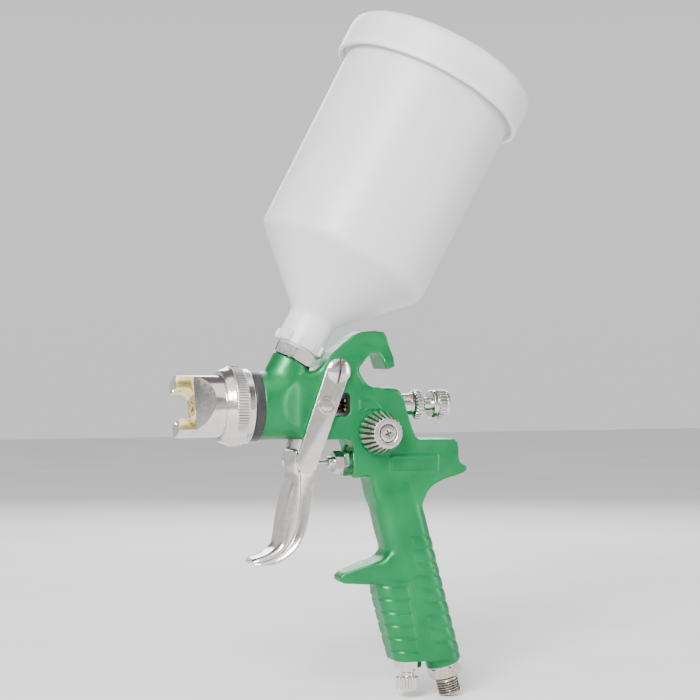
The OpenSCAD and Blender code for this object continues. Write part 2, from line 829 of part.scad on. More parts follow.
module pivot_screw() {
    color(nickel) at_inlet() {
        bar_y(pivot[0], pivot[1], arm_out - 7, arm_out + 0.5, 4);
        translate([pivot[0], arm_out + seat_gap, pivot[1]]) rotate([-90, 0, 0]) pivot_head();
    }
}

module cross_pin() {
    slot_w = needle_d + 2 * free_gap;
    slot_h = 2.2;
    color(steel) at_inlet() difference() {
        bar_y(cross_pin_x, cross_pin_z, -arm_out - clip_t - 0.5, arm_out + clip_t + 0.5, cross_pin_d);
        // Slot that the needle passes through
        for (z = [-slot_h / 2, slot_h / 2])
            bar_x(cross_pin_x - 6, cross_pin_x + 6, slot_w, z);
        translate([cross_pin_x - 6, -slot_w / 2, -slot_h / 2]) cube([12, slot_w, slot_h]);
    }
}

module cross_pin_clips() {
    color(steel) at_inlet()
        for (s = [-1, 1])
            translate([cross_pin_x, s * (arm_out + fixed_gap), cross_pin_z]) rotate([-90 * s, 0, 0])
                difference() {
                    washer(2 * clip_r, cross_pin_d + 2 * fixed_gap, clip_t);
                    translate([0, -1.1, -1]) cube([10, 2.2, 3]);
                }
}

// ---- Air inlet and regulator ----

module air_inlet_fitting() {
    color(steel) at_inlet() on_inlet() difference() {
        union() {
            translate([0, 0, -10]) cylinder(h = 11, d = inlet_thread_d);
            translate([0, 0, 0.9]) hex_z(inlet_hex_h - 0.9, inlet_hex, 30);
            translate([0, 0, inlet_hex_h - 0.1])
                cylinder(h = inlet_relief + 0.2, d = inlet_thread_d - 1.8);
            translate([0, 0, inlet_l - inlet_thread_l])
                cylinder(h = inlet_thread_l, d = inlet_thread_d);
        }
        translate([0, 0, -11]) cylinder(h = 40, d = 8);
    }
}

module inlet_washer() {
    color(white) at_inlet() on_inlet() translate([0, 0, fixed_gap])
        washer(inlet_thread_d + 3.8, inlet_thread_d + 2 * fixed_gap, 0.8);
}

module regulator_housing() {
    color(nickel) at_inlet() on_regulator() difference() {
        union() {
            translate([0, 0, -12]) cylinder(h = 12.2, d = reg_bore_d - 2 * fixed_gap);
            translate([0, 0, fixed_gap]) hex_z(4.5, reg_hex, 10);
            translate([0, 0, 4.4]) cylinder(h = 2.6, d = 8.2);
        }
        translate([0, 0, -13]) cylinder(h = 30, d = 4 + 2 * run_gap);
        translate([0, 0, -13]) cylinder(h = 5, d = 6.6);
    }
}

module regulator_spindle_seal() {
    color(black) at_inlet() on_regulator() translate([0, 0, -11.4]) washer(6.2, 4.1, 1.4);
}

module regulator_knob() {
    z0 = 9.2;
    h = 7.6;
    r = reg_knob_d / 2;
    color(nickel) at_inlet() on_regulator() {
        translate([0, 0, -12]) cylinder(h = z0 + 13, d = 4);
        translate([0, 0, -14.6]) cylinder(h = 2.7, d = 6.4);
        translate([0, 0, 7.3]) cylinder(h = z0 - 7, d = 7.4);
        translate([0, 0, z0]) difference() {
            turned([
                [0, 0], [r - 1.4, 0], [r, 1], [r, h - 0.8], [r - 0.8, h], [0, h]
            ]);
            flutes(14, reg_knob_d, 0.5, 1.8, -1, h + 1);
        }
    }
}

// ---- Cup ----

module cup_connector() {
    z0 = boss_top + seat_gap;
    color(nickel) at_inlet() on_cup_axis() difference() {
        union() {
            translate([0, 0, boss_top - 9.6]) cylinder(h = 10.5, d = conn_thread_d);
            translate([0, 0, z0]) hex_z(conn_h, conn_hex, 12);
            translate([0, 0, conn_top - 0.1]) cylinder(h = 10, d = neck_thread_d);
        }
        translate([0, 0, boss_top - 11]) cylinder(h = 30, d = conn_bore_d);
    }
}

module cup_gasket() {
    color(white) at_inlet() on_cup_axis() translate([0, 0, conn_top + fixed_gap])
        washer(conn_hex, neck_thread_d + 2 * fixed_gap, gasket_t);
}

// Outer wall of the cup as [radius, height], from the neck to the rim
cup_outer = [
    [cup_neck_d / 2, neck_top], [shoulder_r - 1.2, shoulder_z - 1.2],
    [shoulder_r, shoulder_z + 1.8], [shoulder_r + cup_rise, lid_foot + 2],
    [rim_r, lid_foot + 3.4], [rim_r, lid_foot + 9],
    [shoulder_r + cup_rise + 0.6, lid_foot + 10], [shoulder_r + cup_rise + 0.6, cup_top]
];

module paint_cup() {
    bore_r = neck_thread_d / 2 + fixed_gap;
    wall = cup_wall;
    color(milky) at_inlet() on_cup_axis() {
        turned(concat(
            [[bore_r, neck_foot], [cup_neck_d / 2, neck_foot]],
            cup_outer,
            [
                [shoulder_r + cup_rise - wall, cup_top],
                [shoulder_r - wall, shoulder_z + 2.2],
                [shoulder_r - wall - 1, shoulder_z - 0.4],
                [cup_neck_d / 2 - 2.6, neck_top + wall * 0.4], [cup_neck_d / 2 - 2.6, conn_top + 11],
                [bore_r, conn_top + 11]
            ]
        ));
        // Lugs on the neck's foot, to turn the cup by
        for (a = [0 : 60 : 300])
            rotate([0, 0, a + 30])
                translate([cup_neck_d / 2 - 1.6, -4, neck_foot + 0.5]) cube([2.5, 8, 5]);
    }
}

module cup_lid() {
    r = lid_r;
    top = lid_foot + lid_h;
    inner = r - lid_wall;
    edge = 7;
    inner_edge = edge - 1.5;
    color(milky) at_inlet() on_cup_axis() turned(concat(
        [[1.2, top], [1.2, top - lid_wall]],
        [for (a = [90 : -15 : 0])
            [inner - inner_edge * (1 - cos(a)), top - lid_wall - inner_edge * (1 - sin(a))]],
        [[inner, lid_foot], [r - 0.8, lid_foot], [r, lid_foot + 1.5]],
        [for (a = [0 : 15 : 90]) [r - edge * (1 - cos(a)), top - edge * (1 - sin(a))]]
    ));
}

gun_body();
seal_ring();
air_distributor();
fluid_nozzle();
nozzle_gasket();
air_cap();
air_cap_ring();
fluid_needle();
needle_collar();
needle_packing();
packing_nut();
needle_spring();
needle_spring_seat();
fluid_sleeve();
fluid_locknut();
fluid_knob();
fan_valve_housing();
fan_spindle_seal();
fan_spindle();
fan_knob();
fan_knob_screw();
air_valve_body();
air_valve_gland();
air_valve_stem();
air_valve_seal();
air_valve_spring();
trigger();
pivot_stud();
pivot_screw();
cross_pin();
cross_pin_clips();
air_inlet_fitting();
inlet_washer();
regulator_housing();
regulator_spindle_seal();
regulator_knob();
cup_connector();
cup_gasket();
paint_cup();
cup_lid();
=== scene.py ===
"""Looks of a gravity-feed HVLP spray gun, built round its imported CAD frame."""
import json
import math

import bmesh
import bpy
import numpy as np
from mathutils import Matrix, Vector

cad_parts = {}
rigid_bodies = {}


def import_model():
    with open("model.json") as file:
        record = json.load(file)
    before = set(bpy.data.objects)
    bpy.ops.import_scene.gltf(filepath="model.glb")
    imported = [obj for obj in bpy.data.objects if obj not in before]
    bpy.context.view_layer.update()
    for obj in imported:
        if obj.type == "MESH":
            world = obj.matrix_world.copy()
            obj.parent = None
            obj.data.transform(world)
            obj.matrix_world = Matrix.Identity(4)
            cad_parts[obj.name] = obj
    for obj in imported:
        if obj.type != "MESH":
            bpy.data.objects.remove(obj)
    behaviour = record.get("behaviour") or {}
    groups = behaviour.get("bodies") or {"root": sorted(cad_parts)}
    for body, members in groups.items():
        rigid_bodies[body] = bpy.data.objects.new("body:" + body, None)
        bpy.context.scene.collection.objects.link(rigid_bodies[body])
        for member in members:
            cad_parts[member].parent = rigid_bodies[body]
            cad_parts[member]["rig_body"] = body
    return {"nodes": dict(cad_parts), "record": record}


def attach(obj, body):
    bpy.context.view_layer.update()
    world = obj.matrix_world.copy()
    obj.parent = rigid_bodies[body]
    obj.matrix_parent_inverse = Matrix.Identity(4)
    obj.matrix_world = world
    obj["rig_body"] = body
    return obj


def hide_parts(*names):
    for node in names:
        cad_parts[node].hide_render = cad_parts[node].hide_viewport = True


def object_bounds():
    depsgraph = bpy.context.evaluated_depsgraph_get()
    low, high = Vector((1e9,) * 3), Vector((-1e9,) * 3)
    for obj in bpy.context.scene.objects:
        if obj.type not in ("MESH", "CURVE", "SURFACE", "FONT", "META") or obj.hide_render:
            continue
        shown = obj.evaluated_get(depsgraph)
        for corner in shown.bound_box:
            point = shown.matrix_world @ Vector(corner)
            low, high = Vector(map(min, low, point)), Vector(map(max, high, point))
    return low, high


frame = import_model()
cad_low, cad_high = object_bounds()
nodes = frame["nodes"]

# Most numbers are millimetres in the gun's own axes: X = 0 is the barrel's front face,
# X runs to the rear, Z = 0 is the spray axis. INLET is the row frame's origin in them.
INLET = (113.57674, 0.0, -161.13778)
MM = 0.001
LEAN = math.radians(15)
CUP_LEAN = math.radians(28)
GRIP_FOOT = (109.306, 0.0, -145.2)
CUP_FOOT = (7, 0, 0)
VALVE_Z = -31.3
PIVOT_X, PIVOT_Z = 42.4, 19.0
FAN_X, FAN_Z = 66.7, -14.8
HORN_TURN = math.radians(18)
ARM_LEAN = math.radians(20.3)
ARM_INNER, ARM_OUTER = 11.4, 13.6
FAN_TEETH = 22
GRIP_PITCH = 7.2
SHEET = 1.5


def place(origin, z_axis, x_axis):
    """Matrix from a local frame in mm, given in the gun's axes, to the row frame."""
    z = Vector(z_axis).normalized()
    x = Vector(x_axis)
    x = (x - z * x.dot(z)).normalized()
    y = z.cross(x)
    m = Matrix((x, y, z)).transposed().to_4x4()
    m.translation = Vector(origin)
    to_row = Matrix.Translation(-MM * Vector(INLET)) @ Matrix.Scale(MM, 4)
    return to_row @ m


SPRAY = place((0, 0, 0), (1, 0, 0), (0, 1, 0))
VALVE = place((0, 0, VALVE_Z), (1, 0, 0), (0, 1, 0))
CUP = place(CUP_FOOT, (math.sin(CUP_LEAN), 0, math.cos(CUP_LEAN)), (1, 0, 0))
BELOW = place(GRIP_FOOT, (math.sin(LEAN), 0, -math.cos(LEAN)), (1, 0, 0))
FAN = place((FAN_X, -11, FAN_Z), (0, -1, 0), (1, 0, 0))
REG = place((87.906, 0, -141.5), (0, 0, -1), (1, 0, 0))
GUN = place((0, 0, 0), (0, 0, 1), (1, 0, 0))


# ---- Materials ----

class Shader:
    """A Principled material with object coordinates and a chain of bumps."""

    def __init__(self, name, color, rough, metal=0.0, **sockets):
        self.mat = bpy.data.materials.new(name)
        self.mat.use_nodes = True
        self.tree = self.mat.node_tree
        self.bsdf = self.tree.nodes["Principled BSDF"]
        self.coord = self.tree.nodes.new("ShaderNodeTexCoord").outputs["Object"]
        self.bump = None
        self.bsdf.inputs["Base Color"].default_value = (*color, 1)
        self.bsdf.inputs["Roughness"].default_value = rough
        self.bsdf.inputs["Metallic"].default_value = metal
        for key, value in sockets.items():
            self.bsdf.inputs[key.replace("_", " ")].default_value = value

    def node(self, kind, **values):
        n = self.tree.nodes.new("ShaderNode" + kind)
        for key, value in values.items():
            n.inputs[key].default_value = value
        return n

    def link(self, a, b):
        self.tree.links.new(a, b)

    def noise(self, scale, detail=3.0, stretch=(1, 1, 1)):
        """Noise of a given frequency in periods a metre."""
        m = self.node("Mapping", Scale=stretch)
        self.link(self.coord, m.inputs["Vector"])
        n = self.node("TexNoise", Scale=scale, Detail=detail)
        self.link(m.outputs["Vector"], n.inputs["Vector"])
        return n.outputs["Fac"]

    def ramp(self, source, low, high, stops=(0.35, 0.65)):
        n = self.node("ValToRGB")
        e = n.color_ramp.elements
        e[0].position, e[1].position = stops
        e[0].color, e[1].color = (*low, 1), (*high, 1)
        self.link(source, n.inputs["Fac"])
        return n.outputs["Color"]

    def vary_color(self, source, low, high, stops=(0.35, 0.65)):
        self.link(self.ramp(source, low, high, stops), self.bsdf.inputs["Base Color"])

    def mix_color(self, factor, a, b):
        n = self.node("Mix")
        n.data_type = "RGBA"
        self.link(factor, n.inputs[0])
        self.link(a, n.inputs[6])
        self.link(b, n.inputs[7])
        return n.outputs[2]

    def vary_rough(self, source, low, high, stops=(0.3, 0.7)):
        n = self.node("MapRange")
        n.inputs["From Min"].default_value, n.inputs["From Max"].default_value = stops
        n.inputs["To Min"].default_value, n.inputs["To Max"].default_value = low, high
        self.link(source, n.inputs["Value"])
        self.link(n.outputs["Result"], self.bsdf.inputs["Roughness"])

    def bumps(self, source, height, strength=1.0):
        """Adds a bump of the given height in metres."""
        n = self.node("Bump", Strength=strength, Distance=height)
        self.link(source, n.inputs["Height"])
        if self.bump:
            self.link(self.bump, n.inputs["Normal"])
        self.bump = n.outputs["Normal"]
        self.link(self.bump, self.bsdf.inputs["Normal"])

    def wear(self, color_socket, worn, stops=(0.53, 0.6)):
        """Lightens convex edges towards the worn colour, broken up by noise."""
        geo = self.node("NewGeometry")
        edge = self.ramp(geo.outputs["Pointiness"], (0, 0, 0), (1, 1, 1), stops)
        spots = self.ramp(self.noise(420, 4), (0, 0, 0), (1, 1, 1), (0.42, 0.62))
        both = self.node("Math")
        both.operation = "MULTIPLY"
        self.link(edge, both.inputs[0])
        self.link(spots, both.inputs[1])
        tint = self.node("RGB")
        tint.outputs[0].default_value = (*worn, 1)
        out = self.mix_color(both.outputs[0], color_socket, tint.outputs[0])
        self.link(out, self.bsdf.inputs["Base Color"])


def green_paint():
    s = Shader("anodised_green", (0.01, 0.22, 0.06), 0.36, 0.6, Coat_Weight=0.08, Coat_Roughness=0.25)
    base = s.ramp(s.noise(55, 3), (0.001, 0.165, 0.047), (0.004, 0.225, 0.064), (0.3, 0.7))
    s.wear(base, (0.10, 0.52, 0.20))
    s.vary_rough(s.noise(260, 4), 0.36, 0.47)
    s.bumps(s.noise(2600, 3), 0.00010, 0.35)
    s.bumps(s.noise(420, 2), 0.00025, 0.25)
    return s.mat


def plated(name, axis=None, color=(0.74, 0.70, 0.67), rough=0.15):
    """Nickel plate: fine turning or polishing lines along one axis."""
    s = Shader(name, color, rough, 1.0)
    dark = tuple(c * 0.86 for c in color)
    s.vary_color(s.noise(190, 4), dark, color, (0.3, 0.62))
    s.vary_rough(s.noise(700, 5), rough * 0.75, rough * 1.5)
    stretch = {None: (1, 1, 1), "x": (60, 2, 2), "y": (2, 60, 2), "z": (2, 2, 60)}[axis]
    s.bumps(s.noise(110 if axis else 900, 3, stretch), 0.00004, 0.35)
    s.bumps(s.noise(160, 2), 0.00012, 0.2)
    return s.mat


def metal(name, color, rough, scale=900):
    s = Shader(name, color, rough, 1.0)
    s.vary_color(s.noise(300, 4), tuple(c * 0.82 for c in color), color)
    s.vary_rough(s.noise(scale, 4), rough * 0.8, rough * 1.4)
    s.bumps(s.noise(scale * 2, 2), 0.00005, 0.4)
    return s.mat


def milky(name, thick):
    s = Shader(
        name, (0.92, 0.925, 0.94), 0.40,
        IOR=1.49, Transmission_Weight=0.22 if thick else 0.26,
        Subsurface_Weight=0.45, Subsurface_Radius=(0.012, 0.012, 0.013), Subsurface_Scale=1.0,
    )
    s.vary_color(s.noise(38, 3), (0.90, 0.91, 0.93), (0.95, 0.955, 0.965), (0.3, 0.7))
    s.vary_rough(s.noise(500, 4), 0.32, 0.47)
    s.bumps(s.noise(900, 3), 0.00012, 0.25)
    s.bumps(s.noise(45, 2), 0.0009, 0.18)
    return s.mat


def soft(name, color, rough, bump=0.00008):
    s = Shader(name, color, rough)
    s.vary_color(s.noise(400, 4), tuple(c * 0.75 for c in color), tuple(min(1, c * 1.2) for c in color))
    s.vary_rough(s.noise(600, 3), rough * 0.85, min(1, rough * 1.2))
    s.bumps(s.noise(1500, 3), bump, 0.4)
    return s.mat


M = {
    "body": green_paint(),
    "nickel_x": plated("nickel_turned_x", "x"),
    "nickel_y": plated("nickel_turned_y", "y"),
    "nickel_z": plated("nickel_turned_z", "z"),
    "nickel": plated("nickel_polished", rough=0.13),
    "nickel_trigger": plated("nickel_trigger", color=(0.74, 0.71, 0.69), rough=0.15),
    "steel": metal("stainless_steel", (0.62, 0.62, 0.61), 0.24),
    "brass": metal("brass_turned", (0.80, 0.60, 0.22), 0.22),
    "brass_gold": metal("brass_bright", (0.98, 0.82, 0.34), 0.18),
    # Near-black nickel: painted shade for knob slots, screw slots, the screw's cross and thread valleys
    "painted_shade": metal("nickel_painted_shade", (0.16, 0.15, 0.14), 0.42),
    # Darker, browner nickel than the other plated parts, used on the air inlet
    "nickel_dark_brown": plated("nickel_dark_brown", None, (0.60, 0.55, 0.49), 0.24),
    "nickel_matt": plated("nickel_matt", "y", (0.70, 0.66, 0.62), 0.27),
    "shadow": soft("window_shadow", (0.012, 0.018, 0.014), 0.6),
    "rubber": soft("rubber_black", (0.025, 0.025, 0.027), 0.62),
    "black": soft("plastic_black", (0.020, 0.020, 0.022), 0.42, 0.00004),
    "white": soft("plastic_white", (0.72, 0.72, 0.70), 0.45, 0.00004),
    "cup": milky("polypropylene_cup", False),
    "lid": milky("polypropylene_lid", True),
}
CAD_FINISH = {
    "body": "body", "nickel": "nickel", "steel": "steel", "brass": "brass", "rubber": "rubber",
    "black_plastic": "black", "seal_plastic": "white", "cup_plastic": "cup",
}
node_slot = {s["node"]: s["material_slot"] for s in frame["record"]["subparts"]}
for name, obj in nodes.items():
    obj.data.materials.clear()
    obj.data.materials.append(M[CAD_FINISH[node_slot[name]]])


# ---- Making pieces ----

def piece(name, bm, finish, node, angle=35):
    """Turns a bmesh in the row frame into a piece that stands for a CAD node."""
    bmesh.ops.remove_doubles(bm, verts=bm.verts, dist=1e-7)
    bmesh.ops.recalc_face_normals(bm, faces=bm.faces)
    me = bpy.data.meshes.new(name)
    bm.to_mesh(me)
    bm.free()
    return finish_piece(name, me, finish, node, angle)


def finish_piece(name, me, finish, node, angle=35):
    obj = bpy.data.objects.new(name, me)
    bpy.context.scene.collection.objects.link(obj)
    me.shade_smooth()
    me.set_sharp_from_angle(angle=math.radians(angle))
    if not me.materials:
        me.materials.append(M[finish])
    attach(obj, nodes[node]["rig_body"])
    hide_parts(node)
    return obj


def rounded(points, radius=0.3, steps=3):
    """Points of a profile with each corner rounded; a point may carry its own radius."""
    n = len(points)
    closed = points[0][1] > 0
    out = []
    for i, p in enumerate(points):
        here = Vector(p[:2])
        r = p[2] if len(p) > 2 else radius
        if not closed and i in (0, n - 1):
            out.append(tuple(here))
            continue
        before, after = Vector(points[i - 1][:2]), Vector(points[(i + 1) % n][:2])
        a, b = before - here, after - here
        turn = math.pi - a.angle(b)
        if r <= 0 or turn < 0.02:
            out.append(tuple(here))
            continue
        d = min(r * math.tan(turn / 2), 0.45 * a.length, 0.45 * b.length)
        p0, p1 = here + a.normalized() * d, here + b.normalized() * d
        count = max(2, round(steps * turn / 1.2))
        for k in range(count + 1):
            t = k / count
            q = p0 * (1 - t) ** 2 + here * 2 * t * (1 - t) + p1 * t * t
            out.append(tuple(q))
    return out


def dense(points, longest, low, high):
    """Splits the profile's stretches between two stations into short ones."""
    out = []
    n = len(points)
    closed = points[0][1] > 0
    for i, p in enumerate(points):
        out.append(p)
        if i == n - 1 and not closed:
            break
        q = points[(i + 1) % n]
        length = math.dist(p, q)
        mid = (p[0] + q[0]) / 2
        if length > longest and low <= mid <= high:
            k = math.ceil(length / longest)
            out += [tuple(np.array(p) + (np.array(q) - np.array(p)) * j / k) for j in range(1, k)]
    return out


def lathe(bm, profile, where, sides=96, shape=None):
    """Turns a profile of (t, radius) about a local Z. shape(angle, t, r) gives the real radius."""
    closed = profile[0][1] > 0
    ang = np.linspace(0, 2 * math.pi, sides, endpoint=False)
    rings = []
    for t, r in profile:
        rr = np.full(sides, r) if shape is None else shape(ang, t, r)
        co = np.stack([rr * np.cos(ang), rr * np.sin(ang), np.full(sides, t)], 1)
        rings.append([bm.verts.new(where @ Vector(c)) for c in co] if r > 0
                     else [bm.verts.new(where @ Vector((0, 0, t)))] * sides)
    pairs = list(zip(rings, rings[1:])) + ([(rings[-1], rings[0])] if closed else [])
    for a, b in pairs:
        for i in range(sides):
            j = (i + 1) % sides
            loop = []
            for v in (a[i], a[j], b[j], b[i]):
                if v not in loop:
                    loop.append(v)
            if len(loop) > 2:
                bm.faces.new(loop)
    return bm


def hexagon(across, turn, low, high, chamfer, only):
    """A lathe shape: a hexagon across its flats, chamfered at its two ends."""
    def shape(ang, t, r):
        if r < only:
            return np.full(len(ang), r)
        a = (ang - math.radians(turn)) % (math.pi / 3) - math.pi / 6
        rr = across / 2 / np.cos(a)
        corner = across / 2 / math.cos(math.pi / 6)
        for end in (low, high):
            rr = np.minimum(rr, corner - chamfer + abs(t - end) * 1.9)
        return rr
    return shape


def ridges(count, depth, low, high, only, power=1.0, taper=0.6):
    """A lathe shape: straight ridges along a knob between two stations."""
    def shape(ang, t, r):
        if r < only:
            return np.full(len(ang), r)
        fade = max(0.0, min(1.0, (t - low) / taper, (high - t) / taper))
        wave = (0.5 - 0.5 * np.cos(ang * count)) ** power
        return r - depth * fade * wave
    return shape


def ring_of(name, node, profile, where, finish, sides=128, shape=None, angle=35):
    return piece(name, lathe(bmesh.new(), profile, where, sides, shape), finish, node, angle)


# ---- Cast and pressed pieces: fine remesh, then smoothing and raised detail ----

def remeshed(node, voxel):
    """A CAD node remeshed into fine even quads: mesh, vertices in gun millimetres, edges."""
    src = nodes[node].copy()
    src.data = nodes[node].data.copy()
    bpy.context.scene.collection.objects.link(src)
    mod = src.modifiers.new("remesh", "REMESH")
    mod.mode = "VOXEL"
    mod.voxel_size = voxel * MM
    dg = bpy.context.evaluated_depsgraph_get()
    me = bpy.data.meshes.new_from_object(src.evaluated_get(dg))
    bpy.data.objects.remove(src)
    co = np.zeros(len(me.vertices) * 3)
    me.vertices.foreach_get("co", co)
    co = co.reshape(-1, 3) / MM + np.array(INLET)
    edges = np.zeros(len(me.edges) * 2, int)
    me.edges.foreach_get("vertices", edges)
    return me, co, edges.reshape(-1, 2)


def smooth(co, edges, weight, rounds, back=-0.60):
    """Smooths where weight is over 0: each round steps in, then partly back out."""
    n = len(co)
    degree = np.bincount(edges.ravel(), minlength=n).astype(float)[:, None]
    w = weight[:, None]
    for _ in range(rounds):
        for factor in (0.62, back):
            total = np.zeros((n, 3))
            for k in range(3):
                total[:, k] = np.bincount(edges[:, 0], co[edges[:, 1], k], n)
                total[:, k] += np.bincount(edges[:, 1], co[edges[:, 0], k], n)
            co = co + w * factor * (total / degree - co)
    return co


def normals_of(me, co):
    """Moves the mesh to the given vertices and returns its normals."""
    me.vertices.foreach_set("co", ((co - np.array(INLET)) * MM).ravel())
    me.update()
    nor = np.zeros(len(me.vertices) * 3)
    me.vertices.foreach_get("normal", nor)
    return nor.reshape(-1, 3)


def step(value, low, high):
    """0 below low, 1 above high, smooth between."""
    t = np.clip((value - low) / (high - low), 0, 1)
    return t * t * (3 - 2 * t)


def box_mask(x, z, x0, x1, z0, z1, soft_edge):
    """1 inside a rounded box in the side view, 0 outside."""
    half = (np.array([x1 - x0, z1 - z0])) / 2
    dx = np.abs(x - (x0 + x1) / 2) - half[0] + 2
    dz = np.abs(z - (z0 + z1) / 2) - half[1] + 2
    outside = np.hypot(np.maximum(dx, 0), np.maximum(dz, 0)) - 2 + np.minimum(np.maximum(dx, dz), 0)
    return 1 - step(outside, -soft_edge, 0)


def groove(phase, pitch, width):
    """1 at each groove line of a repeating pattern, 0 between."""
    d = np.abs((phase / pitch + 0.5) % 1 - 0.5) * pitch
    return 1 - step(d, 0, width)


def cast_body():
    me, co, edges = remeshed("gun_body", 0.55)
    x, y, z = co.T
    # Machined faces keep their edges
    crisp = step(x, -0.4, 1.6)
    for cx, cz, r in ((PIVOT_X, PIVOT_Z, 5.5), (FAN_X, FAN_Z, 8.0)):
        crisp = np.minimum(crisp, 0.25 + 0.75 * step(np.hypot(x - cx, z - cz), r, r + 2))
    near_window = box_mask(x, z, 28.5, 52.5, -8.0, 9.6, 1.5)
    crisp = np.minimum(crisp, 1 - 0.6 * near_window)
    cup_t = (x - CUP_FOOT[0]) * math.sin(CUP_LEAN) + z * math.cos(CUP_LEAN)
    crisp = np.minimum(crisp, 1 - 0.8 * step(cup_t, 25.8, 26.8) * (x < 26))
    below = (x - GRIP_FOOT[0]) * math.sin(LEAN) - (z - GRIP_FOOT[2]) * math.cos(LEAN)
    crisp = np.minimum(crisp, 1 - 0.7 * step(below, -2.0, -0.8))
    co = smooth(co, edges, crisp, 16)
    # Extra softness where the grip, the tail and the hook run into each other
    blend = np.zeros(len(co))
    for cx, cz, r in ((68, -46, 16), (92, -48, 14), (76, -52, 16), (58, 16, 9), (76, 10, 9),
                      (74, -84, 12), (80, -96, 9), (68, -98, 7), (104, -40, 9), (30, 16, 9)):
        blend = np.maximum(blend, 1 - step(np.hypot(x - cx, z - cz), r * 0.5, r))
    blend = np.maximum(blend, 1 - step(np.abs(x - 14), 7, 12))
    co = smooth(co, edges, np.minimum(blend, crisp), 90, -0.12)
    # Grip frame: lx to the back, lz up
    x, y, z = co.T
    dx, dz = x - GRIP_FOOT[0], z - GRIP_FOOT[2]
    lx = dx * math.cos(LEAN) + dz * math.sin(LEAN)
    nor = normals_of(me, co)
    push = np.zeros(len(co))
    outer = step(np.hypot(nor[:, 0], nor[:, 1]), 0.5, 0.8)
    # Finger ribs at the front of the grip
    reach = -12.6 + (z + 99) * 0.09
    front = (1 - step(lx, reach - 0.5, reach + 0.3)) * step(z, -137.6, -136.9) * (1 - step(z, -97.6, -96.8))
    lines = groove(z + 98.9 + 0.035 * (x - 63), GRIP_PITCH, 1.1)
    edge_line = 1 - step(np.abs(lx - reach), 0.2, 1.1)
    edge_line = edge_line * step(z, -137.6, -136.4) * (1 - step(z, -98.6, -97.6))
    on_grip = step(np.abs(y), 3.0, 5.5) * outer
    push -= 0.5 * np.maximum(front * lines, edge_line) * on_grip
    push += 0.15 * front * (1 - lines) * on_grip
    # Pillows down the back of the grip
    back_edge = -4.8 + (z + 71) * 0.045
    along = (z + 71.6 + 0.075 * (x - 85)) / GRIP_PITCH
    pillow = np.sqrt(np.clip(1 - np.abs(2 * (along % 1) - 1) ** 2.2, 0, 1))
    back = step(lx, back_edge, back_edge + 1.2) * step(z, -137.2, -136.2) * (1 - step(z, -72.2, -71.2))
    push += (0.8 * pillow - 0.5) * back * outer * step(np.abs(y), 1.0, 4.0)
    # Raised panels on the left side, both bare
    left = step(-nor[:, 1], 0.55, 0.85) * (y < 0)
    panel = box_mask(x - 0.04 * (z + 32), z, 72.6, 102.4, -37.6, -27.0, 0.9)
    inner = box_mask(x - 0.04 * (z + 32), z, 74.0, 101.0, -36.3, -28.3, 0.9)
    push += (0.5 * panel - 0.2 * inner) * left
    arch = 3.4 - 0.075 * np.maximum(x - 60.5, 0) ** 2
    small = step(x, 55.0, 55.8) * step(z, -2.6, -1.8) * (1 - step(z - arch, -0.8, 0))
    small *= step(np.hypot(x - FAN_X, z - FAN_Z), 12.6, 13.2)
    push += 0.55 * small * left
    co = co + nor * push[:, None]
    co = smooth(co, edges, np.minimum(crisp, 0.6), 2)
    normals_of(me, co)
    me.materials.clear()
    casting = finish_piece("body_casting", me, "body", "gun_body", 60)
    to_gun = GUN.inverted()

    def in_window(p):
        c = to_gun @ p.center
        return 31.0 < c.x < 50.2 and -5.8 < c.z < 7.3 and abs(c.y) < 10.2
    second_finish(casting, "shadow", in_window)


def spline(points, count):
    """Even stations on a smooth curve through the points, each a row of numbers."""
    p = np.array(points, float)
    p = np.vstack([2 * p[0] - p[1], p, 2 * p[-1] - p[-2]])
    out = []
    for u in np.linspace(0, len(points) - 1, count):
        i = min(int(u), len(points) - 2)
        t = u - i
        a, b, c, d = p[i:i + 4]
        out.append(0.5 * (2 * b + (c - a) * t + (2 * a - 5 * b + 4 * c - d) * t * t
                          + (3 * b - a - 3 * c + d) * t ** 3))
    return np.array(out)


def applied(name, me, *mods):
    """The mesh after modifiers, each a type with its settings."""
    tmp = bpy.data.objects.new(name + "_tmp", me)
    bpy.context.scene.collection.objects.link(tmp)
    for kind, values in mods:
        mod = tmp.modifiers.new(kind, kind)
        for key, value in values.items():
            setattr(mod, key, value)
    out = bpy.data.meshes.new_from_object(tmp.evaluated_get(bpy.context.evaluated_depsgraph_get()))
    bpy.data.objects.remove(tmp)
    out.materials.clear()
    return out


def modified(name, bm, *mods):
    """The mesh of a bmesh, facing outwards, after modifiers."""
    me = bpy.data.meshes.new(name)
    bmesh.ops.recalc_face_normals(bm, faces=bm.faces)
    bm.to_mesh(me)
    bm.free()
    return applied(name, me, *mods)


def second_finish(obj, finish, chosen):
    """Gives the faces that chosen(polygon) picks another finish."""
    obj.data.materials.append(M[finish])
    for p in obj.data.polygons:
        if chosen(p):
            p.material_index = 1


# The finger lever, down its length: x, z and half width of its web, its roll, the crease
# behind the roll and the flange's rear edge
WEB = [(18.4, -24, 4), (18.1, -31, 4), (18.3, -39, 4), (16.8, -50, 4), (14.6, -60.5, 4),
       (13.4, -69, 4), (11.6, -75.2, 4), (6.4, -79, 4), (-0.8, -81.6, 3.6), (-3.6, -82.8, 3.0)]
ROLL = [(18.9, -24, 7.6), (18.7, -31, 7.5), (18.9, -39, 7.4), (15.3, -50.1, 7.3), (12.9, -61.4, 7.2),
        (11.8, -69.4, 7.2), (10.3, -75.6, 7.2), (5.0, -79.8, 7.0), (-1.6, -82.1, 6.0), (-4.1, -83.3, 4.6)]
CREASE = [(20.6, -24, 7.9), (21.0, -31, 7.8), (22.3, -37.5, 7.6), (22.9, -50.8, 7.5), (21.8, -61.5, 7.5),
          (19.5, -69.6, 7.5), (15.4, -75.8, 7.4), (8.0, -81.2, 7.2), (-0.4, -83.6, 6.2), (-3.9, -84.3, 4.9)]
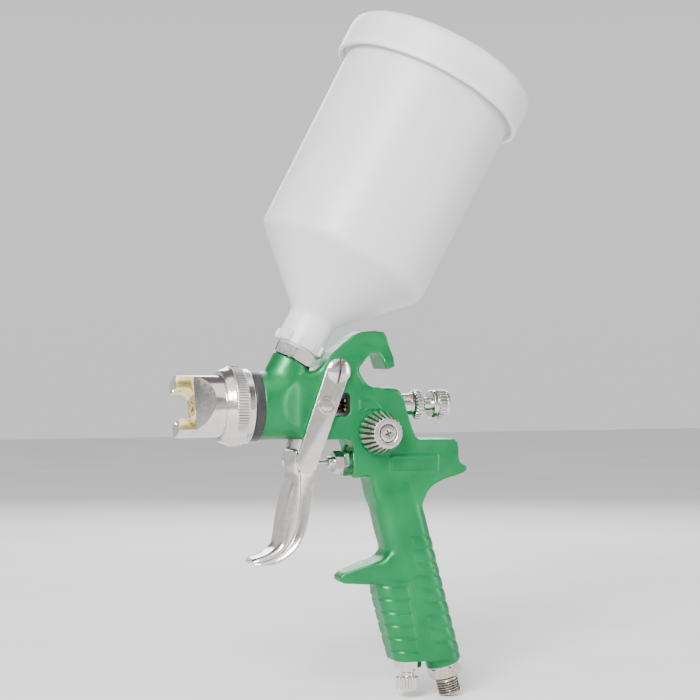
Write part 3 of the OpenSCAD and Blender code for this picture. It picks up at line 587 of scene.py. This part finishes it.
FLANGE = [(27.6, -24, 12.1), (28.6, -31, 12.1), (29.4, -37, 12.1), (28.3, -48, 12.1), (26.8, -58.5, 11.9),
          (23.9, -69.5, 11.6), (19.0, -77.8, 11.0), (9.6, -84.5, 9.9), (0.6, -85.6, 8.2), (-3.4, -85.3, 6.2)]


def pressed_trigger():
    """Two flat arms and a lever pressed from sheet, with a roll along each side."""
    count = 46
    web, roll, crease, flange = (spline(line, count) for line in (WEB, ROLL, CREASE, FLANGE))
    bm = bmesh.new()
    rows = []
    out = np.array([0, 0, 1.0])
    for w, r, c, f in zip(web, roll, crease, flange):
        half = [
            w, w * 0.45 + r * 0.55 - 0.4 * out, r, r * 0.68 + c * 0.32 + 1.3 * out,
            r * 0.42 + c * 0.58 + 1.6 * out, r * 0.18 + c * 0.82 + 0.9 * out, c,
            c * 0.86 + f * 0.14 + 0.1 * out, c * 0.5 + f * 0.5 + 0.3 * out, f
        ]
        section = [(p[0], -p[2], p[1]) for p in half[::-1]] + [(w[0], 0, w[1])]
        section += [(p[0], p[2], p[1]) for p in half]
        rows.append([bm.verts.new(GUN @ Vector(p)) for p in section])
    for a, b in zip(rows, rows[1:]):
        for i in range(len(a) - 1):
            bm.faces.new((a[i], a[i + 1], b[i + 1], b[i]))
    lever = modified(
        "lever", bm,
        ("SOLIDIFY", {"thickness": SHEET * MM, "offset": 0.0, "use_even_offset": True}),
        ("SUBSURF", {"levels": 1, "render_levels": 1}),
    )
    # Arms: a round head at the pivot, straight sides and a round foot
    outline = []
    for k in range(33):
        a = math.pi * k / 32
        outline.append((6.7 * math.cos(a), 6.7 * math.sin(a)))
    for k in range(33):
        a = math.pi + math.pi * k / 32
        outline.append((0.5 + 6.2 * math.cos(a), -52.4 + 5.8 * math.sin(a)))
    bm = bmesh.new()
    for side in (-1, 1):
        faces = []
        for y in (ARM_INNER * side, ARM_OUTER * side):
            ring = []
            for u, v in outline:
                px = PIVOT_X + u * math.cos(ARM_LEAN) + v * math.sin(ARM_LEAN)
                pz = PIVOT_Z - u * math.sin(ARM_LEAN) + v * math.cos(ARM_LEAN)
                ring.append(bm.verts.new(GUN @ Vector((px, y, pz))))
            faces.append(ring)
        bm.faces.new(faces[0])
        bm.faces.new(faces[1][::-1])
        for i in range(len(outline)):
            j = (i + 1) % len(outline)
            bm.faces.new((faces[0][i], faces[0][j], faces[1][j], faces[1][i]))
    arms = modified("arms", bm, ("BEVEL", {
        "width": 0.55 * MM, "segments": 3, "limit_method": "ANGLE", "angle_limit": math.radians(50)
    }))
    bm = bmesh.new()
    bm.from_mesh(lever)
    bm.from_mesh(arms)
    me = bpy.data.meshes.new("trigger_pressing")
    bm.to_mesh(me)
    bm.free()
    finish_piece("trigger_pressing", me, "nickel_trigger", "trigger", 50)


def bevelled(name, node, finish, width, angle=38):
    """A CAD node's shape with its edges broken by a small bevel."""
    bm = bmesh.new()
    bm.from_mesh(nodes[node].data)
    bmesh.ops.remove_doubles(bm, verts=bm.verts, dist=2e-6)
    bmesh.ops.dissolve_limit(
        bm, angle_limit=math.radians(0.7), verts=bm.verts, edges=bm.edges, delimit={"NORMAL"}
    )
    me = bpy.data.meshes.new(name)
    bm.to_mesh(me)
    bm.free()
    out = applied(name, me, ("BEVEL", {
        "width": width * MM, "segments": 2, "limit_method": "ANGLE",
        "angle_limit": math.radians(angle), "use_clamp_overlap": True
    }))
    return finish_piece(name, out, finish, node, 30)


# ---- Spray head ----

def spray_head():
    ring = dense(rounded([
        (-5.35, 17.66), (-5.35, 19.3), (-6.0, 20.1, 0.5), (-9.4, 20.2), (-9.9, 21.55, 0.4),
        (-15.95, 21.55, 0.4), (-16.9, 20.7), (-19.7, 19.9, 0.5), (-21.35, 19.0, 0.6),
        (-21.35, 16.95, 0.2), (-17.75, 16.95, 0.1), (-17.75, 17.66, 0.1)
    ], 0.35), 0.35, -16.3, -9.6)
    ring_of("air_cap_retaining_ring", "air_cap_ring", ring, SPRAY, "nickel_x", 616,
            ridges(88, 0.42, -16.2, -9.7, 20.3), 28)
    seal = rounded([
        (-5.1, 17.65), (-5.1, 18.7), (-4.7, 19.0), (-0.4, 19.0), (0, 18.7), (0, 17.65)
    ], 0.35)
    ring_of("barrel_seal_ring", "seal_ring", seal, SPRAY, "black", 160)
    cap = bevelled("air_cap_body", "air_cap", "nickel", 0.22)

    def in_notch(p):
        c = p.center / MM + Vector(INLET)
        up = c.y * math.sin(HORN_TURN) + c.z * math.cos(HORN_TURN)
        return c.x < -34.5 and abs(up) < 9.0
    second_finish(cap, "brass_gold", in_notch)


# ---- Controls ----

def hex_nut(name, node, profile, where, across, turn, low, high, finish, only, chamfer=0.7):
    shape = hexagon(across, turn, low, high, chamfer, only)
    ring_of(name, node, dense(profile, 0.22, low - 0.01, high + 0.01), where, finish, 192, shape, 25)


def controls():
    # Fluid locknut and knob
    nut = rounded([
        (90.3, 3.75), (90.3, 6.6), (91.4, 8.2, 0.5), (94.3, 8.2, 0.5), (95.75, 6.7), (95.75, 3.75)
    ], 0.25)
    nut = dense(nut, 0.35, 90.2, 95.8)
    ring_of("fluid_lock_nut", "fluid_locknut", nut, SPRAY, "nickel_x", 480,
            ridges(26, 0.62, 90.7, 95.5, 6.9, 3.0, 0.4), 28)
    knob = [
        (80, 1.65), (80, 3.6), (80.2, 3.68), (101.1, 3.68, 0.2), (101.1, 7.2), (101.7, 7.85),
        (103.6, 7.85), (104.1, 7.1, 0.2), (104.9, 8.25, 0.4), (109.3, 8.25, 0.6), (111.1, 7.4, 0.9),
        (111.85, 5.9, 0.6), (111.85, 2.6, 0.5), (110.4, 1.9, 0.6), (106.5, 1.65)
    ]
    knob = dense(rounded(knob, 0.25), 0.35, 104.4, 111.2)
    ring_of("fluid_control_knob", "fluid_knob", knob, SPRAY, "nickel_x", 480,
            ridges(26, 0.62, 104.6, 109.6, 7.3, 3.0, 0.5), 28)
    sleeve = rounded([
        (74, 3.76), (74, 5.88), (88.3, 5.88), (88.4, 6.28), (90, 6.28), (90, 3.76)
    ], 0.2)
    ring_of("fluid_guide_sleeve", "fluid_sleeve", sleeve, SPRAY, "nickel_x", 128)
    # Pattern knob: coarse tapered teeth, with painted shade in the slots between them
    def wave(ang):
        return np.abs((ang * FAN_TEETH / (2 * math.pi)) % 1 * 2 - 1)

    def teeth(ang, t, r):
        if t > 14.2 or r < 7.8 or t < 0.4:
            return np.full(len(ang), r)
        fade = min(1.0, (14.7 - t) / 0.9) * (0.55 + 0.45 * min(1.0, t / 3))
        return r - 1.25 * fade * np.clip(wave(ang) * 1.5 - 0.45, 0, 1)
    fan = [
        (0.35, 8.6), (0.35, 11.0), (1.5, 12.15, 0.7), (4.0, 12.15, 1.0), (13.2, 8.95, 0.8),
        (14.5, 8.0, 0.5), (14.5, 5.6, 0.4), (14.1, 5.1), (12.1, 4.75, 0.15), (12.1, 1.72, 0.1),
        (8.7, 1.72, 0.1), (8.7, 2.56, 0.1), (4.9, 2.56, 0.1), (4.9, 8.5, 0.1)
    ]
    fan = dense(rounded(fan, 0.3), 0.5, 0.4, 14.4)
    knob = ring_of("pattern_control_knob", "fan_knob", fan, FAN, "nickel_matt", 528, teeth, 28)
    inward = FAN.inverted()

    def in_slot(p):
        c = inward @ p.center
        return 0.5 < c.z < 13.9 and math.hypot(c.x, c.y) > 7.0 and wave(math.atan2(c.y, c.x)) > 0.62

    def in_cross(p):
        c = inward @ p.center
        return 12.9 < c.z < 14.3 and math.hypot(c.x, c.y) < 2.6
    # Painted shade on the faces of the slots between the teeth
    second_finish(knob, "painted_shade", in_slot)
    screw = bevelled("pattern_knob_screw", "fan_knob_screw", "nickel_y", 0.15)
    # Painted shade inside the screw head's cross
    second_finish(screw, "painted_shade", in_cross)
    # Regulator: hexagon housing and knurled knob
    hexa = rounded([
        (-12, 2.06), (-12, 4.5), (0.05, 4.5, 0.05), (0.05, 8.0, 0.05), (4.5, 8.0, 0.05), (4.5, 4.1, 0.05),
        (7.0, 4.1, 0.3), (7.0, 2.06, 0.1)
    ], 0.1)
    hex_nut("regulator_body", "regulator_housing", hexa, REG, 14, 10, 0.05, 4.5, "nickel_z", 4.55)
    reg = [
        (-14.6, 0), (-14.6, 3.1), (-11.9, 3.1), (-11.9, 1.98, 0.1), (7.3, 1.98, 0.1), (7.3, 3.6),
        (9.2, 3.6, 0.1), (9.2, 5.3, 0.2), (10.2, 6.55, 0.4), (15.9, 6.55, 0.4), (16.75, 5.6, 0.4),
        (16.75, 0)
    ]
    reg = dense(rounded(reg, 0.2), 0.35, 9.4, 16.4)
    ring_of("regulator_control_knob", "regulator_knob", reg, REG, "nickel_z", 448,
            ridges(22, 0.6, 9.7, 16.2, 5.6, 2.6, 0.5), 28)


# ---- Air valve, pivot and small parts ----

def pivot_head(name, node, side, shank, start):
    """A domed head on a shank, with a slot across it, at one end of the trigger's pivot."""
    where = place((PIVOT_X, 13.9 * side, PIVOT_Z), (0, side, 0), (1, 0, 0))
    head = lathe(bmesh.new(), rounded([
        (start, 0), (start, shank), (0.02, shank, 0.05), (0.02, 6.65), (0.75, 6.72, 0.3), (1.5, 5.4, 3),
        (2.3, 3.0, 4), (2.6, 0)
    ], 0.2, 6), where, 96)
    bmesh.ops.remove_doubles(head, verts=head.verts, dist=1e-7)
    turn = Matrix.Rotation(math.radians(90 + 7 * side), 4, "Z")
    slot = Matrix.Translation((0, 0, 2.25)) @ turn @ Matrix.Diagonal((20, 1.35, 3, 1))
    cutter = bmesh.new()
    bmesh.ops.create_cube(cutter, size=1.0)
    bmesh.ops.transform(cutter, verts=cutter.verts, matrix=where @ slot)
    tool = bpy.data.objects.new("slot_tool", bpy.data.meshes.new("slot_tool"))
    cutter.to_mesh(tool.data)
    cutter.free()
    bpy.context.scene.collection.objects.link(tool)
    me = modified(name, head, ("BOOLEAN", {"object": tool, "solver": "EXACT"}),
                  ("BEVEL", {"width": 0.12 * MM, "segments": 2, "angle_limit": math.radians(35)}))
    bpy.data.objects.remove(tool)
    back = where.inverted()
    across = turn.inverted()

    def slot_floor(p):
        c = back @ p.center
        return 0.6 < c.z < 0.9 and abs((across @ c).y) < 0.6
    # Painted shade on the floor of the slot
    second_finish(finish_piece(name, me, "nickel_y", node, 40), "painted_shade", slot_floor)


def valve_and_pivot():
    body = [
        (48.7, 1.48), (48.7, 6.8, 0.05), (53.3, 6.8, 0.05), (53.3, 5.9, 0.05), (58.4, 5.9, 0.2),
        (58.4, 1.48, 0.1)
    ]
    hex_nut("air_valve_nut", "air_valve_body", rounded(body, 0.1), VALVE, 12, 14, 48.7, 53.3,
            "nickel_x", 5.95)
    gland = [
        (40.25, 1.48), (40.25, 2.7), (40.8, 3.18, 0.3), (43.65, 3.18, 0.05), (43.65, 6.3, 0.05),
        (48.65, 6.3, 0.05), (48.65, 3.5, 0.05), (54.1, 3.5, 0.1), (54.1, 1.48, 0.1)
    ]
    hex_nut("air_valve_gland_nut", "air_valve_gland", rounded(gland, 0.2), VALVE, 11, 30, 43.65, 48.65,
            "nickel_x", 3.6)
    pivot_head("trigger_pivot_stud", "pivot_stud", -1, 3.5, -27.6)
    pivot_head("trigger_pivot_screw", "pivot_screw", 1, 2.0, -7.3)
    bevelled("needle_cross_pin", "cross_pin", "nickel_y", 0.35, 50)
    bevelled("cross_pin_retainers", "cross_pin_clips", "steel", 0.12, 50)


def thread(major, pitch, depth, low, high, only):
    """A lathe shape: a right-hand screw thread between two stations, fading in at its ends."""
    def shape(ang, t, r):
        if r < only or not low <= t <= high:
            return np.full(len(ang), r)
        tooth = np.abs(((t / pitch - ang / (2 * math.pi)) % 1) * 2 - 1)
        fade = min(1.0, (t - low) / pitch, (high - t) / (0.6 * pitch) + 0.35)
        return major - depth * fade * np.clip(tooth * 1.25 - 0.12, 0, 1)
    return shape


def air_inlet():
    profile = [
        (-10, 4.0), (-10, 6.55), (0.9, 6.55, 0.05), (0.9, 9.8, 0.05), (6.5, 9.8, 0.05), (6.5, 5.7, 0.1),
        (7.5, 5.7, 0.15), (8.1, 6.56, 0.1), (15.9, 6.56, 0.1), (16.5, 6.1, 0.1), (16.5, 4.4, 0.3),
        (15.9, 4.0, 0.3)
    ]
    profile = dense(dense(rounded(profile, 0.2), 0.11, 7.5, 16.4), 0.22, 0.85, 6.55)
    nut = hexagon(17, 30, 0.9, 6.5, 1.0, 7)
    screw = thread(6.56, 1.337, 0.78, 8.0, 16.5, 5.9)

    def shape(ang, t, r):
        return nut(ang, t, r) if 0.89 <= t <= 6.51 and r > 7 else screw(ang, t, r)
    nipple = ring_of("air_inlet_nipple", "air_inlet_fitting", profile, BELOW, "nickel_dark_brown", 192, shape, 25)
    inward = BELOW.inverted()

    def in_valley(p):
        c = inward @ p.center
        return 7.6 < c.z < 16.2 and 5.2 < math.hypot(c.x, c.y) < 6.25
    # Painted shade in the thread's valleys
    second_finish(nipple, "painted_shade", in_valley)


# ---- Cup ----

def cup_parts():
    conn = [
        (17.9, 4.5), (17.9, 7.0), (18.4, 7.48), (27.8, 7.48, 0.05), (27.8, 12.3, 0.05), (34.3, 12.3, 0.05),
        (34.3, 8.68, 0.05), (44.2, 8.68, 0.2), (44.2, 4.5, 0.2)
    ]
    hex_nut("cup_connector_nut", "cup_connector", rounded(conn, 0.1), CUP, 21.5, 12, 27.8, 34.3,
            "nickel", 8.8, 1.1)
    outer = [
        (35.2, 8.75), (35.2, 13.0, 0.3), (54.0, 13.0, 4.5), (88.3, 47.3, 5.0), (91.3, 48.5, 6.0),
        (197.5, 49.5, 1.0), (198.9, 52.45, 0.6), (204.5, 52.45, 0.8), (205.5, 50.1, 0.5), (207.5, 50.1, 0.6),
        (207.5, 47.7, 0.6), (91.7, 46.7, 6.0), (89.1, 45.7, 5.0), (55.44, 10.4, 4.0), (45.3, 10.4, 0.2),
        (45.3, 8.75, 0.2)
    ]
    profile = dense(rounded(outer, 0.4, 8), 6.0, 55, 197)
    bm = lathe(bmesh.new(), profile, CUP, 192)
    # Lugs round the neck's foot
    for k in range(6):
        a = math.radians(30 + 60 * k)
        turn = CUP @ Matrix.Rotation(a, 4, "Z")
        corners = [(11.4, -4), (13.9, -3.7), (13.9, 3.7), (11.4, 4)]
        rings = [[bm.verts.new(turn @ Vector((px * s if px > 12 else px, py, t))) for px, py in corners]
                 for t, s in ((35.7, 0.985), (36.2, 1), (40.2, 1), (40.7, 0.985))]
        for lower, upper in zip(rings, rings[1:]):
            for i in range(4):
                j = (i + 1) % 4
                bm.faces.new((lower[i], lower[j], upper[j], upper[i]))
        bm.faces.new(rings[0][::-1])
        bm.faces.new(rings[-1])
    piece("paint_cup_shell", bm, "cup", "paint_cup", 40)
    lid = [
        (218, 1.2), (218, 54.7, 7.0), (195.5, 54.7, 1.0), (195.5, 52.6, 0.4), (215.8, 52.6, 5.5), (215.8, 1.2)
    ]
    lid = dense(rounded(lid, 0.25, 8), 4.0, 196, 219)
    ring_of("paint_cup_lid", "cup_lid", lid, CUP, "lid", 192, None, 40)


cast_body()
pressed_trigger()
spray_head()
controls()
valve_and_pivot()
air_inlet()
cup_parts()
# CAD nodes that keep their shape and get a closer finish than their slot's
for node, finish in (("air_valve_stem", "steel"), ("fluid_nozzle", "brass_gold")):
    nodes[node].data.materials[0] = M[finish]


# ---- Floor, light and camera, in metres in the row frame ----

AIM = (-0.04, 0, 0.20)
FLOOR_HALF = 3
FLOOR_GAP = 0.0005
CAMERA_PLACE = (-0.4017, -0.9397, 0.1914)
CAMERA_YAW = math.radians(20)


def floor():
    bm = bmesh.new()
    z = cad_low.z - FLOOR_GAP
    for x, y in ((-1, -1), (1, -1), (1, 1), (-1, 1)):
        bm.verts.new((x * FLOOR_HALF, y * FLOOR_HALF, z))
    bm.faces.new(bm.verts)
    me = bpy.data.meshes.new("floor")
    bm.to_mesh(me)
    bm.free()
    obj = bpy.data.objects.new("floor", me)
    bpy.context.scene.collection.objects.link(obj)
    s = Shader("floor_pale", (0.80, 0.80, 0.79), 0.85)
    s.vary_color(s.noise(6, 3), (0.78, 0.78, 0.77), (0.82, 0.82, 0.81))
    me.materials.append(s.mat)


def light(name, where, size, power):
    data = bpy.data.lights.new(name, "AREA")
    data.shape = "RECTANGLE"
    data.size, data.size_y = size
    data.energy = power
    obj = bpy.data.objects.new(name, data)
    bpy.context.scene.collection.objects.link(obj)
    obj.location = where
    obj.rotation_euler = (Vector(AIM) - Vector(where)).to_track_quat("-Z", "Y").to_euler()


def studio():
    light("key_light", (-0.80, -0.95, 0.85), (0.50, 0.50), 38)
    light("side_light", (0.95, -0.55, 0.40), (0.30, 0.90), 7)
    light("back_light", (0.3, 1.0, 0.7), (0.9, 0.6), 12)
    sun = bpy.data.objects.new("sky_light", bpy.data.lights.new("sky_light", "SUN"))
    sun.data.energy = 1.7
    sun.data.angle = math.radians(70)
    sun.rotation_euler = (math.radians(25), math.radians(-20), 0)
    bpy.context.scene.collection.objects.link(sun)
    world = bpy.data.worlds.new("studio")
    world.use_nodes = True
    tree = world.node_tree
    coord = tree.nodes.new("ShaderNodeTexCoord")
    parts = tree.nodes.new("ShaderNodeSeparateXYZ")
    ramp = tree.nodes.new("ShaderNodeValToRGB")
    tree.links.new(coord.outputs["Generated"], parts.inputs[0])
    tree.links.new(parts.outputs["Z"], ramp.inputs["Fac"])
    tree.links.new(ramp.outputs["Color"], tree.nodes["Background"].inputs["Color"])
    stops = ramp.color_ramp.elements
    stops[0].position, stops[1].position = 0.0, 0.85
    stops[0].color, stops[1].color = (0.86, 0.865, 0.87, 1), (0.22, 0.22, 0.225, 1)
    for position, grey in ((0.16, 0.90), (0.32, 0.58), (0.52, 0.26)):
        stops.new(position).color = (grey, grey, grey * 1.01, 1)
    tree.nodes["Background"].inputs["Strength"].default_value = 1.0
    bpy.context.scene.world = world


def camera():
    data = bpy.data.cameras.new("camera")
    data.lens = 93.5
    data.sensor_width = 36
    data.clip_start, data.clip_end = 0.05, 20
    obj = bpy.data.objects.new("camera", data)
    bpy.context.scene.collection.objects.link(obj)
    obj.location = CAMERA_PLACE
    look = Vector((math.sin(CAMERA_YAW), math.cos(CAMERA_YAW), 0))
    obj.rotation_euler = look.to_track_quat("-Z", "Y").to_euler()
    bpy.context.scene.camera = obj


floor()
studio()
camera()
